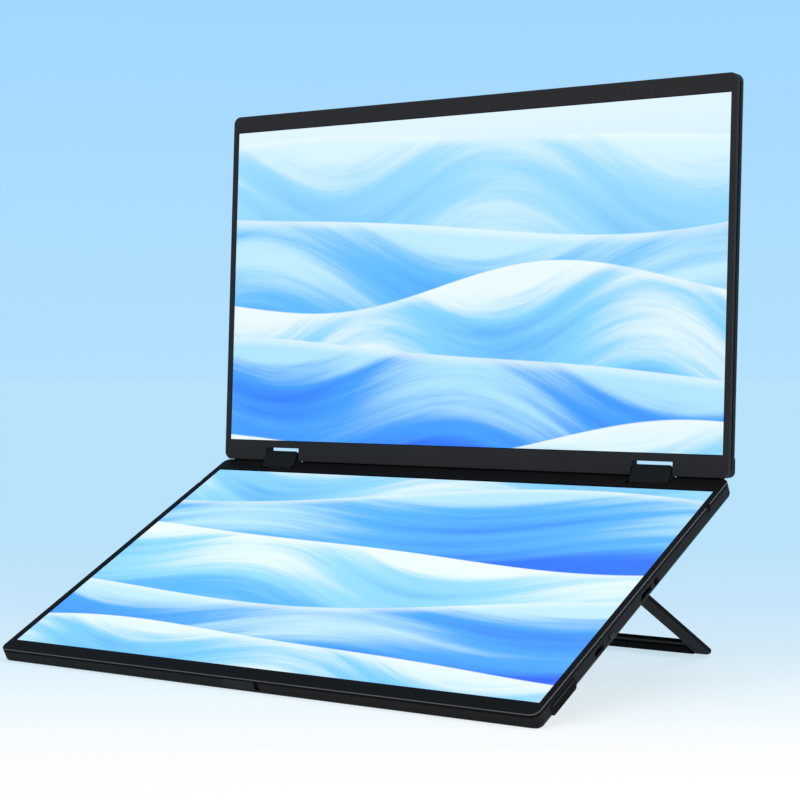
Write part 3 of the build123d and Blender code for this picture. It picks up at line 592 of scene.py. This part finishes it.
def foot_ridges(name, material):
    """A raised line along the outer face of each rubber foot, in a lighter colour that is a painted
    highlight.
    """
    made = bmesh.new()
    start, end = FOOT
    for side in (-1, 1):
        outer = side * (HALF_WIDTH + FOOT_PROUD)
        ends = [(outer, start + FOOT_END), (outer, end - FOOT_END)]
        strip(made, ends if side > 0 else ends[::-1], -RIDGE_DEPTH, RIDGE_HEIGHT, RIDGE_PROUD)
    bmesh.ops.recalc_face_normals(made, faces=made.faces)
    add_piece(name, made, to_lower, material, "lower_half")


def contact_row(name, material, y, width, count, pad_width, reach, socket_height, tongue):
    """A row of small bevelled contacts on a socket's tongue."""
    made = bmesh.new()
    outer, inner = reach
    level = BOARD_TOP + socket_height / 2 + tongue / 2
    for number in range(count):
        middle_y = y + width * ((number + 0.5) / count - 0.5)
        middle = Vector((-(outer + inner) / 2, middle_y, level + CONTACT_LIFT))
        add_block(made, middle, Vector((outer - inner, pad_width, CONTACT_THICKNESS)))
    bevel_all(made, CONTACT_BEVEL)
    add_piece(name, made, to_lower, material, "lower_half")


# Materials of the CAD pieces

case_black = grained("case_black", colour(28, 28, 29), rough=0.55, grain=0.30, depth=0.030, specular=0.08)
# One bezel plastic in two copies: the upper one lighter as painted light, the lower one darker as painted
# shade; the lower one's chamfer also gets a painted highlight
bezel_upper_painted_light = grained("bezel_upper_painted_light", colour(45, 44, 45), rough=0.50, grain=0.25, depth=0.012, specular=0.06)
bezel_lower_painted_shade = grained(
    "bezel_lower_painted_shade", colour(19, 18, 18), rough=0.50, grain=0.25, depth=0.012, specular=0.02,
    edge=(to_lower, colour(92, 93, 96)),
)
link_black = grained("link_black", colour(22, 21, 22), rough=0.42, grain=0.25, depth=0.010, specular=0.06)
rubber = grained("rubber_black", colour(20, 20, 21), rough=0.85, grain=0.5, depth=0.05, specular=0.05)
# Painted highlight: the foot ridge is a lighter rubber standing in for light caught along the foot's edge
ridge_painted_highlight = grained("ridge_painted_highlight", colour(62, 62, 64), rough=0.7, grain=0.5, depth=0.03, specular=0.1)
# Painted shade: the stand's foot strip is a darker copy of the feet's rubber, for the bar's face turned away
# from the light
strip_rubber_painted_shade = grained("strip_rubber_painted_shade", colour(9, 9, 10), rough=0.85, grain=0.5, depth=0.05, specular=0.02)
stand_metal = grained(
    "stand_metal", colour(11, 11, 12), rough=0.45, grain=0.22, depth=0.012, specular=0.02, along=(0.25, 1, 1)
)
steel = grained(
    "steel", colour(190, 192, 196), rough=0.30, grain=0.3, depth=0.006, metal=1.0, along=(1, 0.15, 0.15)
)
dark_plate = grained("dark_plate", colour(74, 75, 78), rough=0.34, grain=0.3, depth=0.006, metal=1.0)
dark_steel = grained("dark_steel", colour(60, 60, 63), rough=0.36, grain=0.3, depth=0.008, metal=0.9)
sheet_metal = grained("sheet_metal", colour(186, 188, 190), rough=0.38, grain=0.4, depth=0.008, metal=1.0)
black_panel = grained(
    "black_panel", colour(10, 10, 12), rough=0.30, grain=0.6, depth=0.002, patch=0.05, specular=0.1
)
moulded = grained("moulded_black", colour(24, 24, 26), rough=0.55, grain=0.2, depth=0.01, specular=0.15)
button_black = grained("button_black", colour(17, 17, 19), rough=0.38, grain=0.22, depth=0.010, specular=0.2)
latch_black = grained("latch_black", colour(32, 32, 34), rough=0.45, grain=0.22, depth=0.010, specular=0.1)
flat_cable = grained(
    "ribbon_cable", colour(214, 204, 184), rough=0.50, grain=0.5, depth=0.02, along=(1, 6, 1)
)
gold = grained("gold_contacts", colour(222, 186, 104), rough=0.28, grain=0.2, depth=0.002, metal=1.0)
# Seam strips: a dark joint on the lower half and painted groove shadow on the upper half
seam_joint_and_painted_shadow = grained("seam_shadow", colour(8, 8, 9), rough=0.8, grain=0.3, depth=0.004, specular=0.05)
acrylic = clear_plastic("acrylic_guide", colour(226, 236, 244))
lamp_dark = clear_plastic("lamp_lens", colour(46, 47, 50))
pipe_dark = clear_plastic("light_pipe", colour(14, 14, 16), specular=0.08)
board_green = circuit_board("circuit_board")

NODE_MATERIALS = {
    "board_chips": moulded, "audio_jack": moulded, "speakers": moulded, "power_switch": moulded,
    "main_board": board_green, "lower_panel_cable": flat_cable,
    "usb_c_socket": dark_plate, "mini_hdmi_socket": dark_plate, "stand_pins": steel,
    "status_light_pipe": pipe_dark, "upper_status_lamp": lamp_dark,
    "lower_bezel": bezel_lower_painted_shade, "upper_bezel": bezel_upper_painted_light,
    "lower_feet": rubber, "upper_rear_pads": rubber, "stand_foot_strip": strip_rubber_painted_shade,
    "power_button": button_black, "slide_latch": latch_black, "stand_frame": stand_metal,
}
HALF_MATERIALS = {
    "rear_cover": case_black, "lcd_panel": black_panel, "light_guide": acrylic, "backlight_tray": sheet_metal,
    "driver_board": board_green, "case_screws": dark_steel, "hinge_shafts": steel, "hinge_screws": steel,
    "hinge_rivets": steel, "hinge_brackets": sheet_metal,
}
for half in ("lower", "upper"):
    for piece, material in HALF_MATERIALS.items():
        NODE_MATERIALS[f"{half}_{piece}"] = material
for side in ("left", "right"):
    for piece in ("block", "cover"):
        NODE_MATERIALS[f"{side}_hinge_{piece}"] = link_black
for name, thing in nodes.items():
    thing.data.materials.clear()
    thing.data.materials.append(NODE_MATERIALS[name])

# Pieces added to the CAD model

wave_layer = wave_layer_group()
lower_picture = picture_material("picture_lower", LOWER_SCREEN_FOOT, wave_layer)
upper_picture = picture_material("picture_upper", UPPER_SCREEN_FOOT, wave_layer)
screen_picture("lower_screen_picture", LOWER_ACTIVE_START, -1, to_lower, lower_picture, "lower_half")
screen_picture("upper_screen_picture", UPPER_ACTIVE_START, 1, to_upper, upper_picture, "upper_half")
seam(
    "lower_seam_line", LOWER_LENGTH, -LOWER_SEAM_DEPTH, LOWER_SEAM_HEIGHT, SIDE_GROOVE, LATCH_SLOT,
    to_lower, seam_joint_and_painted_shadow, "lower_half",
)
seam(
    "upper_seam_line", UPPER_LENGTH, -UPPER_SEAM_DEPTH, UPPER_SEAM_HEIGHT, None, NO_SLOT,
    to_upper, seam_joint_and_painted_shadow, "upper_half",
)
foot_ridges("foot_ridges", ridge_painted_highlight)
contact_row("usb_contacts", gold, **USB_CONTACTS)
contact_row("hdmi_contacts", gold, **HDMI_CONTACTS)

# Camera

camera = add_object("camera", bpy.data.cameras.new("camera"))
camera.location = CAMERA_PLACE
camera.rotation_euler = Euler(
    (math.radians(QUARTER_TURN + CAMERA_PITCH), 0.0, math.radians(CAMERA_AZIMUTH))
)
camera.data.lens = CAMERA_LENS
camera.data.sensor_width = SENSOR_WIDTH
camera.data.clip_end = CLIP_END
bpy.context.scene.camera = camera

# Floor, sky and lamps


def floor_tint(tree, place):
    """The floor's colour, from white in front of the object to the colour of the sky behind it."""
    azimuth = math.radians(CAMERA_AZIMUTH)
    along_sight = tree.dot(place, (-math.sin(azimuth), math.cos(azimuth), 0.0))
    nearest, near_colour = FLOOR_COLOURS[0]
    farthest, far_colour = FLOOR_COLOURS[-1]
    ramp = tree.node("ValToRGB")
    tree.put(ramp.inputs[0], tree.spread(along_sight, (nearest, farthest)))
    stops = ramp.color_ramp.elements
    stops[0].color = colour(*near_colour)
    stops[1].color = colour(*far_colour)
    for distance, middle_colour in FLOOR_COLOURS[1:-1]:
        stop = stops.new((distance - nearest) / (farthest - nearest))
        stop.color = colour(*middle_colour)
    return ramp.outputs["Color"]


def stage_floor():
    """Pale floor that keeps the object's shadow near it and glows evenly farther away."""
    material = bpy.data.materials.new("floor")
    tree = empty_tree(material)
    place = tree.object_place()
    tint = floor_tint(tree, place)
    away = tree.node("VectorMath", operation="LENGTH")
    tree.put(away.inputs[0], place)
    lit = tree.node("BsdfDiffuse")
    tree.put(lit.inputs["Color"], tint)
    plain = tree.node("Emission")
    tree.put(plain.inputs["Color"], tint)
    glow = tree.spread(away.outputs["Value"], GLOW_RANGE, GLOW_SHARES, smooth=True)
    share = tree.math("MULTIPLY", tree.seen_rays(), glow)
    tree.put(tree.node("OutputMaterial").inputs["Surface"], tree.blend(share, lit, plain))
    disc = bmesh.new()
    bmesh.ops.create_circle(disc, cap_ends=True, radius=FLOOR_RADIUS, segments=FLOOR_SIDES)
    floor = add_object("floor", mesh_from("floor", disc, material))


def stage_world():
    """Pale blue sky for what looks at it, soft grey light for the object."""
    world = bpy.data.worlds.new("sky")
    bpy.context.scene.world = world
    tree = empty_tree(world)
    split = tree.node("SeparateXYZ")
    tree.put(split.inputs[0], tree.node("TexCoord").outputs["Generated"])
    rise = tree.spread(split.outputs["Z"], SKY_RISE)
    view = tree.node("Background")
    tree.put(view.inputs["Color"], tree.mix(rise, colour(*SKY_LOW), colour(*SKY_HIGH)))
    light = tree.node("Background")
    tree.put(light.inputs["Color"], SKY_LIGHT)
    tree.put(light.inputs["Strength"], SKY_LIGHT_STRENGTH)
    tree.put(tree.node("OutputWorld").inputs["Surface"], tree.blend(tree.seen_rays(), light, view))


def soft_lamp(name, place, target, width, power):
    data = bpy.data.lights.new(name, "AREA")
    data.shape = "SQUARE"
    data.size = width
    data.energy = power
    lamp = add_object(name, data)
    lamp.location = place
    aim = Vector(target) - Vector(place)
    lamp.rotation_euler = aim.to_track_quat("-Z", "Y").to_euler()


stage_floor()
stage_world()
for name, (place, target, width, power) in LAMPS.items():
    soft_lamp(name, place, target, width, power)

bpy.context.scene.view_settings.view_transform = "Standard"
